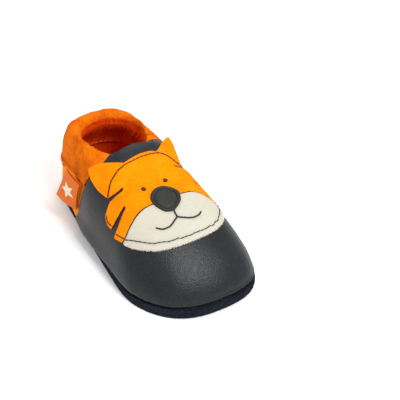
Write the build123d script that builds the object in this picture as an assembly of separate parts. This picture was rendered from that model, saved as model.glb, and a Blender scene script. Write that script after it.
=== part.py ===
from build123d import *
import math
import os

import numpy as np

# A soft-soled leather bootie for the right foot of a small child, with an animal's face on the
# vamp.  Toe towards -Y, heel towards +Y, outer side -X, inner side +X, +Z up.  The origin is on
# the ground under the middle of the shoe.  All sizes are in millimetres.

# ---- driving dimensions ----
SEAM_HEIGHT = 6.0            # height of the seam between the sole and the upper
TOE_LEAN = 8.0               # how far the toe tip leans to the inner side
LEAN_START = 20.0            # the lean grows from this y towards the toe
LEAN_LENGTH = 88.0
HEEL_LEAN = 1.0              # how far the heel leans to the outer side
HEEL_LENGTH = 30.0           # it grows over this length behind LEAN_START

LEATHER = 1.3                # vamp and quarter thickness
FACE_LEATHER = 1.0           # suede of the face pieces
GAP = 0.08                   # air between two layers that are sewn together
MOVING_GAP = 0.4             # air beside a piece that moves

SOLE_OVERHANG = 1.0          # sole edge beyond the upper along the sides
TOE_OVERHANG = 0.9           # more than that at the toe
SOLE_BASE = 1.6              # thickness of the sole under the foot
SOLE_RIM = 1.7               # how far the sole's rim reaches in under the upper
SOLE_ROUND = 0.9             # rounding of the sole's edge
PAD_THICKNESS = 2.4
INSOLE_THICKNESS = 1.4

SEAM_FOOT = 24.5             # y of the side seams at the sole
SEAM_SLOPE = 0.27            # the seams lean forwards by this much per millimetre of height
SEAM_GAP = 0.03              # half of the air between the two sides of a seam
SEAM_ALLOWANCE = 1.2         # the stitches lie this far in front of the seam
COLLAR_EDGE = [(0.0, 0.34), (1.0, 0.35), (1.5, 0.37), (2.0, 0.43), (2.5, 0.50), (3.0, 0.545),
               (3.6, 0.57)]  # the collar's lower edge as (stations from the heel, height)
COLLAR_FOLD = 2.8            # centre to centre of the two leaves at the fold
TUCK_LOW = 0.6               # the quarter lies this far inside the vamp's line at the sole
TUCK_HIGH = 1.5              # and this far inside it under the collar
TUCK_IN = 0.03               # how far up into the casing the quarter's edge runs
ELASTIC_WIDTH = 4.5
ELASTIC_THICKNESS = 1.0
ELASTIC_DEPTH = 4.2          # top of the elastic under the collar's fold
ELASTIC_BACK = 3.2           # elastic's distance from the fold, outwards
ELASTIC_REACH = 2.1          # how many stations it runs to each side of the heel

THREAD = 0.28                # radius of a sewing thread
STITCH = 2.2                 # length of one stitch
STITCH_PITCH = 3.0           # distance from one stitch to the next

LABEL_WIDTH = 13.2           # from the sewn edge to the free edge
LABEL_HEIGHT = 19.5
LABEL_THICKNESS = 1.1
LABEL_SWING_OUT = 24.0       # degrees that the label stands off the quarter
LABEL_FOOT = (3.01, 0.20)    # lower end of the label's sewn edge, on the upper
LABEL_HEAD = (3.22, 0.53)
LABEL_LIFT = 1.8             # the label's middle in front of the vamp's line
STAR_RADIUS = 4.6
STAR_HEIGHT = 0.25

EAR_LOW = GAP + FACE_LEATHER + MOVING_GAP   # underside of an ear over the vamp
EAR_AXIS_HEIGHT = EAR_LOW + 1.1
INNER_EAR_LIFT = 12.0        # degrees that the inner ear stands off the vamp

# The upper is a ring of ribs.  Each row is one rib of the outer half, from the heel's centre to
# the toe's tip: the foot of the rib x, y; its top x, y, z; then how far the rib bulges past its
# foot and at what height, and how far it bulges past its top and at what height.
STATIONS = [
    (0.0, 65.0, 0.0, 48.8, 52.6, 0.5, 18.0, 16.0, 53.0),
    (16.8, 60.5, 12.8, 44.5, 52.8, 0.5, 18.0, 16.0, 52.5),
    (23.6, 43.5, 18.0, 30.0, 53.2, 1.0, 18.0, 13.5, 52.0),
    (27.0, 21.5, 13.6, 14.0, 53.8, 2.5, 18.0, 18.0, 50.5),
    (29.5, 1.0, 11.2, 10.2, 54.8, 3.0, 18.0, 20.5, 50.0),
    (32.5, -23.0, 9.2, 9.4, 55.7, 4.0, 18.0, 24.0, 49.5),
    (33.5, -44.5, 6.8, 9.2, 56.5, 3.0, 17.0, 28.0, 48.0),
    (22.0, -63.5, 3.6, 9.2, 57.1, 2.5, 18.0, 31.0, 46.0),
    (0.0, -69.0, 0.0, 9.4, 57.3, 3.0, 20.0, 32.0, 45.5),
]
ROUND = 16                   # stations round the shoe
OUTER_END, INNER_END = 2.5, 13.5     # the vamp's ribs reach this far before the seams cut them
BACK_START, BACK_END = 12.3, 19.7    # and the ribs of the heel's pieces this far
OUTER_SEAM, INNER_SEAM = 3.2, 12.8   # the side seams run near these stations
FACE_MIDDLE = 7.97           # the station through the middle of the face
FACE_CENTRE = (6.4, 0.66)    # the middle of its outer half

# Lines on the outer half of the face as (station, height along the rib from 0 at the sole to 1
# at the top edge); the inner half is their mirror image.
HEAD_SIDE = [                # along the ear, then two slits that leave two tabs of fur
    [(5.99, 0.903), (5.50, 0.876), (5.08, 0.845), (4.72, 0.79), (4.58, 0.73), (4.60, 0.63)],
    [(4.60, 0.63), (5.07, 0.688), (5.72, 0.750)],
    [(5.72, 0.750), (5.83, 0.752), (5.80, 0.741)],
    [(5.80, 0.741), (5.21, 0.682), (4.80, 0.622)],
    [(4.80, 0.622), (4.69, 0.564), (4.63, 0.49), (4.75, 0.45), (4.95, 0.446), (5.04, 0.475)],
    [(5.04, 0.475), (5.38, 0.570), (5.77, 0.644)],
    [(5.77, 0.644), (5.88, 0.653), (5.88, 0.640)],
    [(5.88, 0.640), (5.57, 0.566), (5.17, 0.430)],
    [(5.17, 0.430), (5.15, 0.404)],
    [(5.15, 0.404), (5.60, 0.424)],
]
MUZZLE_TOP = [(5.60, 0.424), (5.77, 0.470), (5.91, 0.512), (6.10, 0.563), (6.37, 0.615),
              (6.67, 0.650), (7.08, 0.676), (8.03, 0.698)]
HEAD_TOP = [(8.03, 0.929), (7.4, 0.928), (6.86, 0.922), (6.4, 0.913), (5.99, 0.903)]
MUZZLE_LOW = [(5.66, 0.424), (6.1, 0.436), (6.5, 0.446), (7.0, 0.457), (7.5, 0.466), (8.03, 0.468)]
HEAD_SEAM = [(4.66, 0.655), (4.70, 0.73), (4.84, 0.785), (5.18, 0.835), (5.62, 0.866), (6.43, 0.896),
             (7.3, 0.912), (7.97, 0.915)]
MUZZLE_SEAM = [(5.80, 0.468), (6.1, 0.478), (6.5, 0.484), (7.1, 0.492), (7.6, 0.495), (7.97, 0.495)]
EAR = [                      # its base, its under edge, its tip and its upper edge
    [(5.92, 0.904), (5.44, 0.880), (5.02, 0.850), (4.66, 0.795), (4.52, 0.735), (4.54, 0.640)],
    [(4.54, 0.640), (4.14, 0.648), (3.75, 0.698), (3.50, 0.738)],
    [(3.50, 0.738), (3.42, 0.755), (3.46, 0.778)],
    [(3.46, 0.778), (3.71, 0.860), (4.10, 0.890), (4.66, 0.904), (5.92, 0.904)],
]
EAR_CENTRE = (4.3, 0.78)
EAR_BASE = [(6.02, 0.900), (4.72, 0.640)]    # the line that the ear folds about
TAB_SEAMS = [[(4.70, 0.51), (4.78, 0.475), (4.96, 0.475)], [(5.28, 0.448), (5.57, 0.456)]]
MOUTH_SEAMS = [[(7.86, 0.612), (7.86, 0.594)],
               [(7.86, 0.594), (8.04, 0.579), (8.33, 0.563), (8.77, 0.566)],
               [(7.86, 0.594), (7.68, 0.579), (7.45, 0.56), (7.0, 0.562)]]
EYES = [(7.04, 0.755), (8.35, 0.764)]
EYE_RADIUS = 1.2
NOSE = (7.92, 0.688)         # centre of the nose
NOSE_HALF_WIDTH, NOSE_HALF_LENGTH = 8.0, 7.4
NOSE_TAPER = 0.82            # the nose is this much narrower towards the mouth


def across(line):
    """The mirror image of a line on the other half of the face, in rising station order."""
    return [(2 * FACE_MIDDLE - u, t) for u, t in reversed(line)]


def both_halves(line):
    return line + across(line[:-1])


# ---- the ribs ----
def periodic_spline(rows):
    """A smooth closed curve through the rows, one row per whole number."""
    rows = np.asarray(rows, float)
    count = len(rows)
    matrix = 4 * np.eye(count) + np.roll(np.eye(count), 1, 0) + np.roll(np.eye(count), -1, 0)
    slopes = np.linalg.solve(matrix, 3 * (np.roll(rows, -1, 0) - np.roll(rows, 1, 0)))

    def at(u):
        k = int(math.floor(u)) % count
        s = u - math.floor(u)
        n = (k + 1) % count
        return ((2 * s**3 - 3 * s**2 + 1) * rows[k] + (s**3 - 2 * s**2 + s) * slopes[k]
                + (3 * s**2 - 2 * s**3) * rows[n] + (s**3 - s**2) * slopes[n])
    return at


def all_stations():
    """Both halves of the shoe: the outer side first, then the inner side back to the heel."""
    outer = [(-row[0], row[1], -row[2], *row[3:]) for row in STATIONS]
    return outer + STATIONS[-2:0:-1]


station = periodic_spline(all_stations())


def lean(x, y):
    """Moves a point sideways: the toe to the inner side, the heel a little to the outer."""
    toe = min(max((LEAN_START - y) / LEAN_LENGTH, 0.0), 1.0)
    heel = min(max((y - LEAN_START) / HEEL_LENGTH, 0.0), 1.0)
    return x + TOE_LEAN * toe**2 - HEEL_LEAN * heel**2


class Rib:
    """The upright plane of one rib: r runs outwards from the top edge, z runs up."""

    def __init__(self, u):
        fx, fy, tx, ty, tz, low_out, low_z, high_out, high_z = station(u)
        foot = np.array([lean(fx, fy), fy])
        self.top = np.array([lean(tx, ty), ty])
        reach = np.linalg.norm(foot - self.top)
        self.outwards = (foot - self.top) / reach
        self.control = np.array([(reach, SEAM_HEIGHT), (reach + low_out, low_z),
                                 (high_out, high_z), (0.0, tz)])

    def flat(self, t, out=0.0):
        """The rib's point at height t, moved out of the surface, as r and z."""
        a, b, c, d = self.control
        s = 1 - t
        point = s**3 * a + 3 * s * s * t * b + 3 * s * t * t * c + t**3 * d
        slope = 3 * s * s * (b - a) + 6 * s * t * (c - b) + 3 * t * t * (d - c)
        slope = slope / np.linalg.norm(slope)
        return point + out * np.array([slope[1], -slope[0]])

    def solid(self, r, z):
        x, y = self.top + self.outwards * r
        return Vector(x, y, z)

    def point(self, t, out=0.0):
        return self.solid(*self.flat(t, out))


def surface(u, t, out=0.0):
    return Rib(u).point(t, out)


def normal(u, t):
    """The outward direction of the upper at a place on it."""
    step = 0.02
    along = surface(u + step, t) - surface(u - step, t)
    up = surface(u, t + step) - surface(u, t - step)
    return along.cross(up).normalized()


def line_height(points, u):
    """The height of a line on the upper at one station, smooth between its points."""
    us = [p[0] for p in points]
    ts = [p[1] for p in points]
    slopes = np.gradient(ts, us)
    k = min(max(int(np.searchsorted(us, u)) - 1, 0), len(us) - 2)
    width = us[k + 1] - us[k]
    s = min(max((u - us[k]) / width, 0.0), 1.0)
    return ((2 * s**3 - 3 * s**2 + 1) * ts[k] + (s**3 - 2 * s**2 + s) * width * slopes[k]
            + (3 * s**2 - 2 * s**3) * ts[k + 1] + (s**3 - s**2) * width * slopes[k + 1])


# ---- sheets of leather ----
def depth(value, t):
    return value(t) if callable(value) else value


def closed_section(rib, outer, inner):
    """A thin closed section in a rib's plane from two rows of r, z points."""
    far = Edge.make_spline([rib.solid(*p) for p in outer])
    near = Edge.make_spline([rib.solid(*p) for p in inner])
    ends = [Edge.make_line(far @ 1, near @ 1), Edge.make_line(near @ 0, far @ 0)]
    return Wire([far, ends[0], near, ends[1]])


def sheet(start, end, low, high, inner, outer, step=0.5):
    """Leather over the ribs from start to end, between two heights and two depths."""
    count = max(2, round((end - start) / step)) + 1
    sections = []
    for u in np.linspace(start, end, count):
        rib = Rib(u)
        bottom = low(u) if callable(low) else low
        top = high(u) if callable(high) else high
        heights = np.linspace(bottom, top, 13)
        sections.append(closed_section(rib, [rib.flat(t, depth(outer, t)) for t in heights],
                                       [rib.flat(t, depth(inner, t)) for t in heights]))
    return Solid.make_loft(sections)


def seam_plane(offset=0.0):
    """The leaning plane through both side seams, its normal towards the heel."""
    up = Vector(0, 1, SEAM_SLOPE).normalized()
    return Plane(origin=Vector(0, SEAM_FOOT, SEAM_HEIGHT) + up * offset, z_dir=up)


def seam_station(t, near, offset):
    """The station at which a line beside a side seam passes a height on the ribs."""
    plane = seam_plane(offset)
    low, high = near - 1.5, near + 1.5
    side = plane.to_local_coords(surface(low, t)).Z
    for _ in range(30):
        middle = (low + high) / 2
        if plane.to_local_coords(surface(middle, t)).Z * side > 0:
            low = middle
        else:
            high = middle
    return middle


def in_front(piece):
    return split(piece, bisect_by=seam_plane(-SEAM_GAP), keep=Keep.BOTTOM)


def behind(piece):
    return split(piece, bisect_by=seam_plane(SEAM_GAP), keep=Keep.TOP)


def make_vamp():
    return in_front(sheet(OUTER_END, INNER_END, 0.0, 1.0, -LEATHER, 0.0))


def make_vamp_hem():
    """The vamp's top edge turned over to the inside."""
    inside = -LEATHER - GAP
    return sheet(4.2, 2 * FACE_MIDDLE - 4.2, 0.93, 0.99, inside - FACE_LEATHER, inside)


def collar_edge(u):
    """The height of the collar's lower edge at a station of the heel."""
    return line_height(COLLAR_EDGE, abs(u - ROUND))


def tuck(t):
    """How far the quarter lies inside the vamp's line."""
    return TUCK_LOW + (TUCK_HIGH - TUCK_LOW) * min(t / COLLAR_EDGE[0][1], 1.0)


def make_quarter():
    """The heel piece, drawn in under the collar."""
    return behind(sheet(BACK_START, BACK_END, 0.0, lambda u: collar_edge(u) + TUCK_IN,
                        lambda t: -LEATHER - tuck(t), lambda t: -tuck(t)))


def fullness(u):
    """How far the collar puffs out: nothing at the side seams, one all round the heel."""
    s = min(max((3.6 - abs(u - ROUND)) / 1.5, 0.0), 1.0)
    return s * s * (3 - 2 * s)


INNER_LEAF = TUCK_HIGH + LEATHER + 0.15 + LEATHER / 2   # depth of the inner leaf's middle


def collar_centre(u):
    """The collar's middle line in a rib's plane: up the outside, over the fold, down inside."""
    rib = Rib(u)
    start_height = collar_edge(u)
    crease = rib.flat(start_height)
    top = rib.flat(1.0)
    outer = [rib.flat(t, -LEATHER / 2) for t in np.linspace(start_height, 1.0, 14)]
    ahead = top - rib.flat(0.98)
    ahead = ahead / np.linalg.norm(ahead)
    turn = rib.flat(1.0, -LEATHER / 2 - COLLAR_FOLD / 2) + ahead * COLLAR_FOLD / 2
    inner = []
    start = top + np.array([-1.2, -LEATHER / 2 - COLLAR_FOLD - 0.4])
    sewn = crease + np.array([-INNER_LEAF, -1.0])
    controls = [start, start + np.array([-0.8, -6.0]), sewn + np.array([-1.0, 10.0]), sewn]
    for s in np.linspace(0.0, 1.0, 11):
        a, b, c, d = controls
        full = (1 - s)**3 * a + 3 * (1 - s)**2 * s * b + 3 * (1 - s) * s * s * c + s**3 * d
        slack = rib.flat(1.0 - s * (1.0 - start_height), -INNER_LEAF)
        inner.append(slack + (full - slack) * fullness(u))
    return rib, np.array(outer + [turn] + inner)


def make_collar():
    """The quarter's suede folded over into a wide casing."""
    sections = []
    for u in np.linspace(BACK_START, BACK_END, 17):
        rib, centre = collar_centre(u)
        slope = np.gradient(centre, axis=0)
        slope /= np.linalg.norm(slope, axis=1)[:, None]
        side = np.stack([slope[:, 1], -slope[:, 0]], 1) * LEATHER / 2
        sections.append(closed_section(rib, centre + side, centre - side))
    return behind(Solid.make_loft(sections))


def make_elastic():
    """The flat elastic that lies in the collar's fold round the ankle."""
    sections = []
    for u in np.linspace(ROUND - ELASTIC_REACH, ROUND + ELASTIC_REACH, 9):
        rib = Rib(u)
        r, z = rib.flat(1.0)
        low, high = z - ELASTIC_DEPTH - ELASTIC_WIDTH, z - ELASTIC_DEPTH
        near, far = r + ELASTIC_BACK, r + ELASTIC_BACK + ELASTIC_THICKNESS
        corners = [(near, low), (far, low), (far, high), (near, high)]
        sections.append(Wire.make_polygon([rib.solid(*p) for p in corners], close=True))
    return Solid.make_loft(sections)


# ---- the sole ----
def outline(grow):
    """The sole's outline: the foot of every rib, moved outwards."""
    points = []
    for u in np.arange(0, ROUND, 0.5):
        rib = Rib(u)
        reach = rib.control[0][0] + grow
        if grow > 0:
            reach += TOE_OVERHANG * math.exp(-((u - ROUND / 2) / 1.8)**2)
        points.append(rib.solid(reach, 0.0))
    return Face(Wire([Edge.make_spline(points, periodic=True)]))


def plate(grow, bottom, thickness):
    return extrude(outline(grow).moved(Location((0, 0, bottom))), thickness, dir=(0, 0, 1))


def make_outsole():
    tray = plate(SOLE_OVERHANG, 0.0, SEAM_HEIGHT - GAP)
    edges = tray.edges().sort_by(Axis.Z)
    tray = fillet([edges[0], edges[-1]], SOLE_ROUND)
    return tray - plate(-SOLE_RIM, SOLE_BASE, SEAM_HEIGHT)


def make_pad():
    return plate(-SOLE_RIM - 0.1, SOLE_BASE + GAP, PAD_THICKNESS)


def make_insole():
    return plate(-SOLE_RIM - 0.1, SOLE_BASE + 2 * GAP + PAD_THICKNESS, INSOLE_THICKNESS)


# ---- the face ----
def local_plane(u, t, out):
    """A plane that touches the upper, its x axis towards the inner side."""
    up = normal(u, t)
    return Plane(origin=surface(u, t) + up * out, x_dir=(1, 0, 0), z_dir=up)


def prism(runs, centre, under, depth=45.0):
    """A closed outline of smooth runs on the upper, swept along the normal at its centre."""
    plane = local_plane(*centre, -depth)
    edges = []
    for run in runs:
        spots = [plane.to_local_coords(surface(u, t, under + FACE_LEATHER / 2)) for u, t in run]
        flat = [Vector(spot.X, spot.Y) for spot in spots]
        edges.append(Edge.make_spline(flat) if len(flat) > 2 else Edge.make_line(*flat))
    return extrude(plane * Face(Wire(edges)), 2 * depth, dir=plane.z_dir)


def largest(piece):
    return piece.solids().sort_by(SortBy.VOLUME)[-1]


def face_piece(runs, low, high):
    """One half of a face piece and its mirror image, cut from one sheet and joined."""
    start = min(u for run in runs for u, _ in run) - 0.3
    leather = sheet(start, 2 * FACE_MIDDLE - start, low, high, GAP, GAP + FACE_LEATHER)
    outer = largest(leather & prism(runs, FACE_CENTRE, GAP))
    mirrored = [across(run) for run in reversed(runs)]
    inner = largest(leather & prism(mirrored, across([FACE_CENTRE])[0], GAP))
    return largest(outer + inner)


def make_head():
    middle = [MUZZLE_TOP[-1], HEAD_TOP[0]]
    return face_piece(HEAD_SIDE + [MUZZLE_TOP, middle, HEAD_TOP], 0.36, 0.97)


def make_muzzle():
    """The muzzle's upper edge butts against the head with a narrow gap."""
    top = [(u, t - 0.006) for u, t in MUZZLE_TOP[1:]]
    start, low = MUZZLE_LOW[0], MUZZLE_LOW[::-1]
    side = [start, (top[0][0] + 0.05, top[0][1])]
    return face_piece([side + top[1:], [top[-1], low[0]], low], 0.38, 0.75)


def ear_axis(base):
    """The straight line about which an ear folds, from its upper end to its lower end."""
    ends = [surface(u, t, EAR_AXIS_HEIGHT) for u, t in base]
    return Axis(ends[0], ends[1] - ends[0])


def ear_leather(outline, centre):
    stations = [u for run in outline for u, _ in run]
    leather = sheet(min(stations) - 0.25, max(stations) + 0.25, 0.58, 0.95, EAR_LOW,
                    EAR_LOW + FACE_LEATHER, step=0.35)
    return largest(leather & prism(outline, centre, EAR_LOW))


def make_outer_ear():
    return ear_leather(EAR, EAR_CENTRE)


def make_inner_ear():
    """The mirror image of the outer ear on the other half of the face, standing up a little."""
    ear = ear_leather([across(run) for run in reversed(EAR)], across([EAR_CENTRE])[0])
    return ear.rotate(ear_axis(across(EAR_BASE)[::-1]), INNER_EAR_LIFT)


def nose_outline(scale):
    """A rounded nose, wider towards the eyes, in its own plane."""
    half, length = NOSE_HALF_WIDTH * scale, NOSE_HALF_LENGTH * scale
    low = half * NOSE_TAPER
    points = [(0, length), (half * 0.72, length * 0.8), (half, length * 0.1),
              (low * 0.8, -length * 0.75), (0, -length), (-low * 0.8, -length * 0.75),
              (-half, length * 0.1), (-half * 0.72, length * 0.8)]
    return Edge.make_spline([Vector(*p) for p in points], periodic=True)


def make_nose():
    base = GAP + FACE_LEATHER + GAP
    slab = sheet(6.9, 8.95, 0.56, 0.80, base, base + FACE_LEATHER, step=0.25)
    plane = local_plane(*NOSE, -4.0)
    return slab & extrude(plane * Face(Wire([nose_outline(1.0)])), 10.0, dir=plane.z_dir)


def make_eyes():
    base = GAP + FACE_LEATHER + GAP
    eyes = []
    for u, t in EYES:
        plane = local_plane(u, t, base)
        eyes.append(Solid.make_cylinder(EYE_RADIUS, 0.5, plane))
    return Compound(children=eyes)


# ---- the label in the outer side seam ----
def label_plane():
    """x runs from the sewn edge to the free edge, y down the seam, z away from the shoe."""
    foot = surface(*LABEL_FOOT, LABEL_LIFT)
    head = surface(*LABEL_HEAD, LABEL_LIFT)
    up = (head - foot).normalized()
    back = surface(LABEL_FOOT[0] - 0.8, LABEL_FOOT[1]) - surface(*LABEL_FOOT)
    back = (back - up * back.dot(up)).normalized()
    back = back.rotate(Axis((0, 0, 0), up), LABEL_SWING_OUT)
    middle = (foot + head) / 2
    return Plane(origin=middle, x_dir=back, z_dir=up.cross(back))


def make_label():
    """A woven tape folded in two: its fold is the free edge, and both ends are in the seam."""
    plane = label_plane()
    tape = Box(LABEL_WIDTH, LABEL_HEIGHT, LABEL_THICKNESS, align=(Align.MIN, Align.CENTER, Align.CENTER))
    free = tape.edges().filter_by(Axis.Y).group_by(Axis.X)[-1]
    tape = fillet(free, LABEL_THICKNESS * 0.45)
    slot = Box(LABEL_WIDTH - 1.0, LABEL_HEIGHT + 1, 0.1, align=(Align.MIN, Align.CENTER, Align.CENTER))
    return (plane * (tape - slot)).solid()


def star_face():
    """A plain five-pointed star."""
    corners = []
    for k in range(10):
        angle = math.radians(36 * k - 90)
        radius = STAR_RADIUS if k % 2 == 0 else STAR_RADIUS * 0.45
        corners.append((radius * math.cos(angle), radius * math.sin(angle)))
    return Face(Wire.make_polygon([Vector(*c) for c in corners], close=True))


def make_star():
    place = label_plane() * Pos(LABEL_WIDTH * 0.52, 0, LABEL_THICKNESS / 2 + 0.02)
    return extrude(place * star_face(), STAR_HEIGHT, dir=label_plane().z_dir)


# ---- stitching ----
def thread(start, end, radius=THREAD):
    plane = Plane(origin=start, z_dir=end - start)
    return Solid.make_cylinder(radius, (end - start).length, plane)


def stitches(places, pitch=STITCH_PITCH, length=STITCH):
    """Even stitches along a row of points."""
    steps = [0.0]
    for a, b in zip(places, places[1:]):
        steps.append(steps[-1] + (b - a).length)
    total = steps[-1]
    count = max(1, round(total / pitch))

    def at(distance):
        distance = min(max(distance, 0.0), total)
        k = max(1, int(np.searchsorted(steps, distance)))
        part = (distance - steps[k - 1]) / (steps[k] - steps[k - 1])
        return places[k - 1] + (places[k] - places[k - 1]) * part

    half = min(length, total / count * 0.8) / 2
    centres = [(k + 0.5) * total / count for k in range(count)]
    return [thread(at(c - half), at(c + half)) for c in centres]


def line_points(points, out, samples=80):
    """Points on the upper along a smooth line through a few (station, height) places."""
    keys = np.asarray(points, float)
    reach = np.linspace(0, len(keys) - 1, samples)
    slopes = np.gradient(keys, axis=0) if len(keys) > 2 else np.tile(keys[1] - keys[0], (2, 1))
    places = []
    for value in reach:
        k = min(int(value), len(keys) - 2)
        s = value - k
        u, t = ((2 * s**3 - 3 * s**2 + 1) * keys[k] + (s**3 - 2 * s**2 + s) * slopes[k]
                + (3 * s**2 - 2 * s**3) * keys[k + 1] + (s**3 - s**2) * slopes[k + 1])
        places.append(surface(u, t, out))
    return places


FACE_THREAD_HEIGHT = GAP + FACE_LEATHER + 3 * GAP + THREAD
NOSE_THREAD_HEIGHT = FACE_THREAD_HEIGHT + GAP + FACE_LEATHER


def face_stitching(lines):
    rows = []
    for line in lines:
        rows += stitches(line_points(line, FACE_THREAD_HEIGHT))
    return Compound(children=rows)


def make_nose_stitching():
    """A ring of stitches inside the nose's edge."""
    plane = local_plane(*NOSE, GAP + FACE_LEATHER)
    ring = nose_outline(0.74)
    places = []
    for k in range(49):
        spot = ring @ (k / 48)
        places.append(settle(plane, spot, NOSE_THREAD_HEIGHT))
    return Compound(children=stitches(places))


def settle(plane, spot, out):
    """Drops a point of a plane near the upper onto the upper, then lifts it out."""
    target = plane.from_local_coords(Vector(spot.X, spot.Y, 0))
    u, t = NOSE
    for _ in range(12):
        here = surface(u, t)
        miss = target - here
        along = surface(u + 0.01, t) - here
        up = surface(u, t + 0.01) - here
        matrix = [[along.dot(along), along.dot(up)], [along.dot(up), up.dot(up)]]
        du, dt = np.linalg.solve(matrix, [miss.dot(along), miss.dot(up)])
        u, t = u + 0.01 * du, t + 0.01 * dt
    return surface(u, t, out)


def make_seam_stitching(near):
    """The stitches beside a side seam, on the inside of the upper."""
    places = [surface(seam_station(t, near, -SEAM_ALLOWANCE), t, -LEATHER - 3 * GAP - THREAD)
              for t in np.linspace(0.06, 0.5, 30)]
    return Compound(children=stitches(places))


def make_hem_stitching():
    places = [surface(u, 0.955, -LEATHER - FACE_LEATHER - 5 * GAP - THREAD)
              for u in np.linspace(4.5, 2 * FACE_MIDDLE - 4.5, 80)]
    return Compound(children=stitches(places))


def make_casing_stitching():
    """The stitches that close the collar's casing, on the inside."""
    inside = -INNER_LEAF - LEATHER / 2 - 6 * GAP - THREAD
    places = [surface(u, collar_edge(u) + 0.02, inside)
              for u in np.linspace(BACK_START + 1.0, BACK_END - 1.0, 80)]
    return Compound(children=stitches(places))


def make_sole_stitching():
    """The seam that joins the upper to the sole, inside the shoe."""
    places = [surface(u, 0.03, -LEATHER - tuck(0.03) - 6 * GAP - THREAD)
              for u in np.linspace(0, ROUND, 160)]
    return Compound(children=stitches(places, pitch=4.0, length=2.6))


PARTS = {
    "outsole": make_outsole,
    "midsole_pad": make_pad,
    "insole": make_insole,
    "vamp": make_vamp,
    "vamp_hem": make_vamp_hem,
    "heel_quarter": make_quarter,
    "collar": make_collar,
    "elastic_band": make_elastic,
    "ear_outer": make_outer_ear,
    "ear_inner": make_inner_ear,
    "label": make_label,
    "label_star": make_star,
    "head": make_head,
    "muzzle": make_muzzle,
    "nose": make_nose,
    "eyes": make_eyes,
    "head_stitching": lambda: face_stitching([both_halves(HEAD_SEAM)] + TAB_SEAMS
                                             + [across(line) for line in TAB_SEAMS]),
    "muzzle_stitching": lambda: face_stitching([both_halves(MUZZLE_SEAM)]),
    "mouth_stitching": lambda: face_stitching(MOUTH_SEAMS),
    "nose_stitching": make_nose_stitching,
    "outer_seam_stitching": lambda: make_seam_stitching(OUTER_SEAM),
    "inner_seam_stitching": lambda: make_seam_stitching(INNER_SEAM),
    "hem_stitching": make_hem_stitching,
    "casing_stitching": make_casing_stitching,
    "sole_stitching": make_sole_stitching,
}

os.makedirs("parts", exist_ok=True)
for name, make in PARTS.items():
    export_step(make(), f"parts/{name}.step")
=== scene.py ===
import math
import random

import bmesh
import bpy
import numpy as np
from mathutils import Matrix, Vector, noise
from mathutils.geometry import delaunay_2d_cdt


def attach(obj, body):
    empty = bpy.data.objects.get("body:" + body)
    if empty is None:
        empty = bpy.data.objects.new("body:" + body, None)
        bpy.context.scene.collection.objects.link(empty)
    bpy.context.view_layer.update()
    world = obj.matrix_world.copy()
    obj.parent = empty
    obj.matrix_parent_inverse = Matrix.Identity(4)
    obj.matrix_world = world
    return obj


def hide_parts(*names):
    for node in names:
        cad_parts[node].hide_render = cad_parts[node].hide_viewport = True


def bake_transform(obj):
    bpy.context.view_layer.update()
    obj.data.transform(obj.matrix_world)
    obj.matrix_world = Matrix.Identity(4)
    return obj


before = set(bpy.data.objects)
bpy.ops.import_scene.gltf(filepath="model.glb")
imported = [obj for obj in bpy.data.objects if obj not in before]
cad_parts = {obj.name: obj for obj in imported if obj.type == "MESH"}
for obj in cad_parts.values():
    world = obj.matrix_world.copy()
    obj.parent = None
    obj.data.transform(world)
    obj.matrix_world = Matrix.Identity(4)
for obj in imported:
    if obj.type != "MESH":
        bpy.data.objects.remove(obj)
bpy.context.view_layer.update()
random.seed(11)

MM = 0.001
SHOE, OUTER_EAR, INNER_EAR, LABEL = "shoe", "outer_ear", "inner_ear", "side_label"

# ---- the shape of the upper, in millimetres, as the CAD model has it ----
SEAM_HEIGHT = 6.0
TOE_LEAN, LEAN_START, LEAN_LENGTH = 8.0, 20.0, 88.0
HEEL_LEAN, HEEL_LENGTH = 1.0, 30.0
ROUND = 16
TOE_FULLNESS = 2.0           # the toe's inner side is this much fuller than a mirror image
FACE_MIDDLE = 7.97
LEATHER, HEM_LEATHER = 1.3, 0.95

# foot x, y; top x, y, z; low bulge and its height; high bulge and its height
STATIONS = [
    (0.0, 65.0, 0.0, 48.8, 52.6, 0.5, 18.0, 16.0, 53.0),
    (16.8, 60.5, 12.8, 44.5, 52.8, 0.5, 18.0, 16.0, 52.5),
    (23.6, 43.5, 18.0, 30.0, 53.2, 1.0, 18.0, 13.5, 52.0),
    (27.0, 21.5, 13.6, 14.0, 53.8, 2.5, 18.0, 18.0, 50.5),
    (29.5, 1.0, 11.2, 10.2, 54.8, 3.0, 18.0, 20.5, 50.0),
    (32.5, -23.0, 9.2, 9.4, 55.7, 4.0, 18.0, 24.0, 49.5),
    (33.5, -44.5, 6.8, 9.2, 56.5, 3.0, 17.0, 28.0, 48.0),
    (22.0, -63.5, 3.6, 9.2, 57.1, 2.5, 18.0, 31.0, 46.0),
    (0.0, -69.0, 0.0, 9.4, 57.3, 3.0, 20.0, 32.0, 45.5),
]
# the side seams as (height, station), and the collar's lower edge as (stations from heel, height)
OUTER_SEAM = [(0.0, 2.85), (0.11, 3.02), (0.32, 3.19), (0.5, 3.33), (0.7, 3.52), (0.85, 3.70),
              (0.93, 3.74), (1.0, 3.5)]
INNER_SEAM = [(0.0, 13.15), (0.11, 13.0), (0.32, 12.9), (0.5, 12.85), (0.7, 12.8), (0.85, 12.75),
              (1.0, 12.8)]
COLLAR_EDGE = [(0.0, 0.34), (1.0, 0.35), (1.5, 0.37), (2.0, 0.43), (2.5, 0.50), (3.0, 0.545),
               (3.6, 0.57)]


def hermite(start, end, start_slope, end_slope, s):
    """A smooth step from start to end with these slopes at its ends."""
    return ((2 * s**3 - 3 * s**2 + 1) * start + (s**3 - 2 * s**2 + s) * start_slope
            + (3 * s**2 - 2 * s**3) * end + (s**3 - s**2) * end_slope)


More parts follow.
